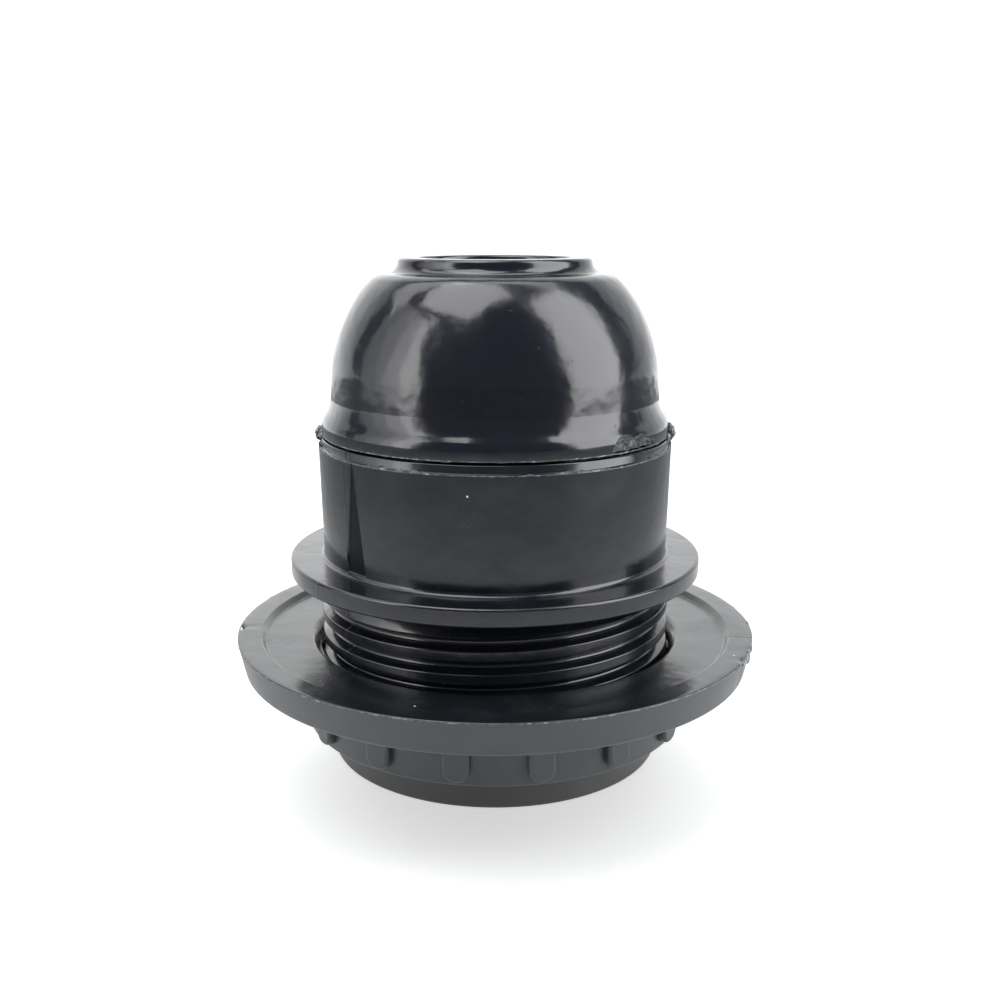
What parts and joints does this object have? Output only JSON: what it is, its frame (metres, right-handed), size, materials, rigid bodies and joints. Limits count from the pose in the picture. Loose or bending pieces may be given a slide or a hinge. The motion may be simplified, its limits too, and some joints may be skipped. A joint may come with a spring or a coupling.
{
  "type": "lamp holder",
  "caption": "Black moulded lamp holder with a domed cap, threaded cable entry, flanged body with a coarse outside thread, and a ribbed screw-on shade ring.",
  "frame": {"origin": "centre of the open lower end, on the plane that the holder stands on", "axes": "+Z along the common axis towards the cable entry; +X towards the live terminal; -Y is the front"},
  "size_m": [0.0596, 0.0596, 0.0565],
  "materials": {
    "moulded_body": "compression-moulded black thermoset, polished mould, light wear",
    "moulded_cap": "compression-moulded black thermoset, polished mould, chipped lip",
    "moulded_ring": "compression-moulded black thermoset, satin grip side",
    "zinc": "die-cast zinc, as cast",
    "steel": "zinc-plated steel",
    "porcelain": "unglazed electrical porcelain",
    "plated_brass": "drawn brass sheet, nickel flash",
    "spring_brass": "stamped hard brass sheet",
    "rivet_brass": "drawn brass, upset ends"
  },
  "bodies": {
    "shell": {"outer_shell": "moulded_body"},
    "insert": {"contact_block": "porcelain", "screw_shell": "plated_brass", "live_rivet": "rivet_brass", "neutral_rivet": "rivet_brass", "shell_rivets": "rivet_brass", "live_plate": "spring_brass", "neutral_plate": "spring_brass", "terminal_screws": "steel", "clamp_washers": "steel"},
    "cap": {"dome_cap": "moulded_cap", "entry_bush": "zinc", "locking_screw": "steel"},
    "ring": {"shade_ring": "moulded_ring"},
    "tongue": {"centre_contact": "spring_brass"}
  },
  "joints": [
    {"name": "cap_turn", "type": "hinge", "parent": "shell", "child": "insert", "pos_m": [0, 0, 0.026], "axis": [0, 0, 1], "range_deg": [0, 866]},
    {"name": "cap_rise", "type": "slide", "parent": "insert", "child": "cap", "axis": [0, 0, 1], "range_m": [0, 0.006]},
    {"name": "ring_travel", "type": "slide", "parent": "shell", "child": "ring", "axis": [0, 0, 1], "range_m": [-0.0035, 0.0068]},
    {"name": "tongue_spring", "type": "hinge", "parent": "insert", "child": "tongue", "pos_m": [0.0075, 0, 0.0264], "axis": [0, 1, 0], "range_deg": [0, 6], "stiffness_Nm_per_rad": 0.6}
  ],
  "couplings": [
    {"joint": "cap_turn", "follows": "cap_rise", "rad_per_m": 2513.3}
  ]
}
